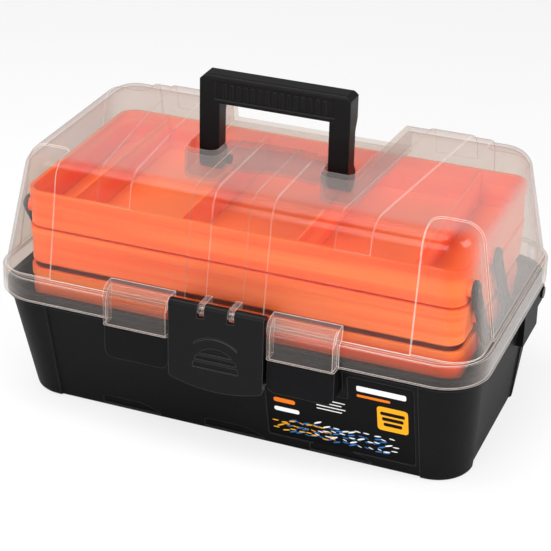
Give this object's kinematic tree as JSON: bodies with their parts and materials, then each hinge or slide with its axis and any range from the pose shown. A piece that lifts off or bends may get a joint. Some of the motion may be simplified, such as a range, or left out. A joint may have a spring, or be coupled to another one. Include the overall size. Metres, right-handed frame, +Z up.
{
  "type": "three-tier tool box",
  "caption": "Tackle-style tool box with a black tub, a clear hinged lid, a folding carrying handle, a front latch and orange trays that rise and draw back on swinging arms.",
  "frame": {"origin": "centre of the flat underside, on the surface the box stands on", "axes": "+X along the length to the right, +Y from the latch to the hinge, +Z up"},
  "size_m": [0.41, 0.2585, 0.2777],
  "materials": {
    "clear_lid": "clear, lightly hazed",
    "black_tub": "fine stipple",
    "black_smooth": "satin",
    "black_arm": "satin",
    "orange_tray": "semi-gloss",
    "label_film": "printed film",
    "pin_steel": "drawn"
  },
  "bodies": {
    "tub": {"tub": "black_tub", "label": "label_film", "hinge_pins": "black_smooth", "tub_pins": "black_smooth"},
    "lid": {"lid": "clear_lid"},
    "handle": {"handle": "black_smooth"},
    "latch": {"latch": "black_smooth", "latch_pin": "pin_steel"},
    "arm_front_left": {"arm_front_left": "black_arm"},
    "arm_front_right": {"arm_front_right": "black_arm"},
    "arm_rear_left": {"arm_rear_left": "black_arm"},
    "arm_rear_right": {"arm_rear_right": "black_arm"},
    "tray_bottom": {"tray_bottom": "orange_tray", "tray_bottom_dividers": "orange_tray", "tray_bottom_pins": "black_smooth"},
    "tray_middle": {"tray_middle": "orange_tray", "tray_middle_dividers": "orange_tray", "tray_middle_pins": "black_smooth"},
    "tray_top": {"tray_top": "orange_tray", "tray_top_dividers": "orange_tray", "tray_top_pins": "black_smooth"}
  },
  "joints": [
    {"name": "lid_hinge", "type": "hinge", "parent": "tub", "child": "lid", "pos_m": [0, 0.1205, 0.072], "axis": [-1, 0, 0], "range_deg": [0, 110]},
    {"name": "handle_fold", "type": "hinge", "parent": "lid", "child": "handle", "pos_m": [0, -0.0074, 0.204], "axis": [-1, 0, 0], "range_deg": [0, 90]},
    {"name": "latch_swing", "type": "hinge", "parent": "lid", "child": "latch", "pos_m": [0, -0.1255, 0.132], "axis": [-1, 0, 0], "range_deg": [0, 100]},
    {"name": "arm_front_left_pivot", "type": "hinge", "parent": "tub", "child": "arm_front_left", "pos_m": [-0.1867, 0.012, 0.062], "axis": [-1, 0, 0], "range_deg": [0, 51.7]},
    {"name": "arm_front_right_pivot", "type": "hinge", "parent": "tub", "child": "arm_front_right", "pos_m": [0.1867, 0.012, 0.062], "axis": [-1, 0, 0], "range_deg": [0, 51.7]},
    {"name": "arm_rear_left_pivot", "type": "hinge", "parent": "tub", "child": "arm_rear_left", "pos_m": [-0.1867, 0.072, 0.062], "axis": [-1, 0, 0], "range_deg": [0, 51.7]},
    {"name": "arm_rear_right_pivot", "type": "hinge", "parent": "tub", "child": "arm_rear_right", "pos_m": [0.1867, 0.072, 0.062], "axis": [-1, 0, 0], "range_deg": [0, 51.7]},
    {"name": "tray_bottom_level", "type": "hinge", "parent": "arm_front_left", "child": "tray_bottom", "pos_m": [-0.1867, -0.034, 0.105], "axis": [1, 0, 0], "range_deg": [0, 51.7]},
    {"name": "tray_middle_level", "type": "hinge", "parent": "arm_front_left", "child": "tray_middle", "pos_m": [-0.1867, -0.055, 0.135], "axis": [1, 0, 0], "range_deg": [0, 51.7]},
    {"name": "tray_top_level", "type": "hinge", "parent": "arm_front_left", "child": "tray_top", "pos_m": [-0.1867, -0.076, 0.16725], "axis": [1, 0, 0], "range_deg": [0, 51.7]}
  ],
  "couplings": [
    {"joint": "arm_front_left_pivot", "follows": "lid_hinge", "ratio": 0.47},
    {"joint": "arm_front_right_pivot", "follows": "lid_hinge", "ratio": 0.47},
    {"joint": "arm_rear_left_pivot", "follows": "lid_hinge", "ratio": 0.47},
    {"joint": "arm_rear_right_pivot", "follows": "lid_hinge", "ratio": 0.47},
    {"joint": "tray_bottom_level", "follows": "lid_hinge", "ratio": 0.47},
    {"joint": "tray_middle_level", "follows": "lid_hinge", "ratio": 0.47},
    {"joint": "tray_top_level", "follows": "lid_hinge", "ratio": 0.47}
  ]
}
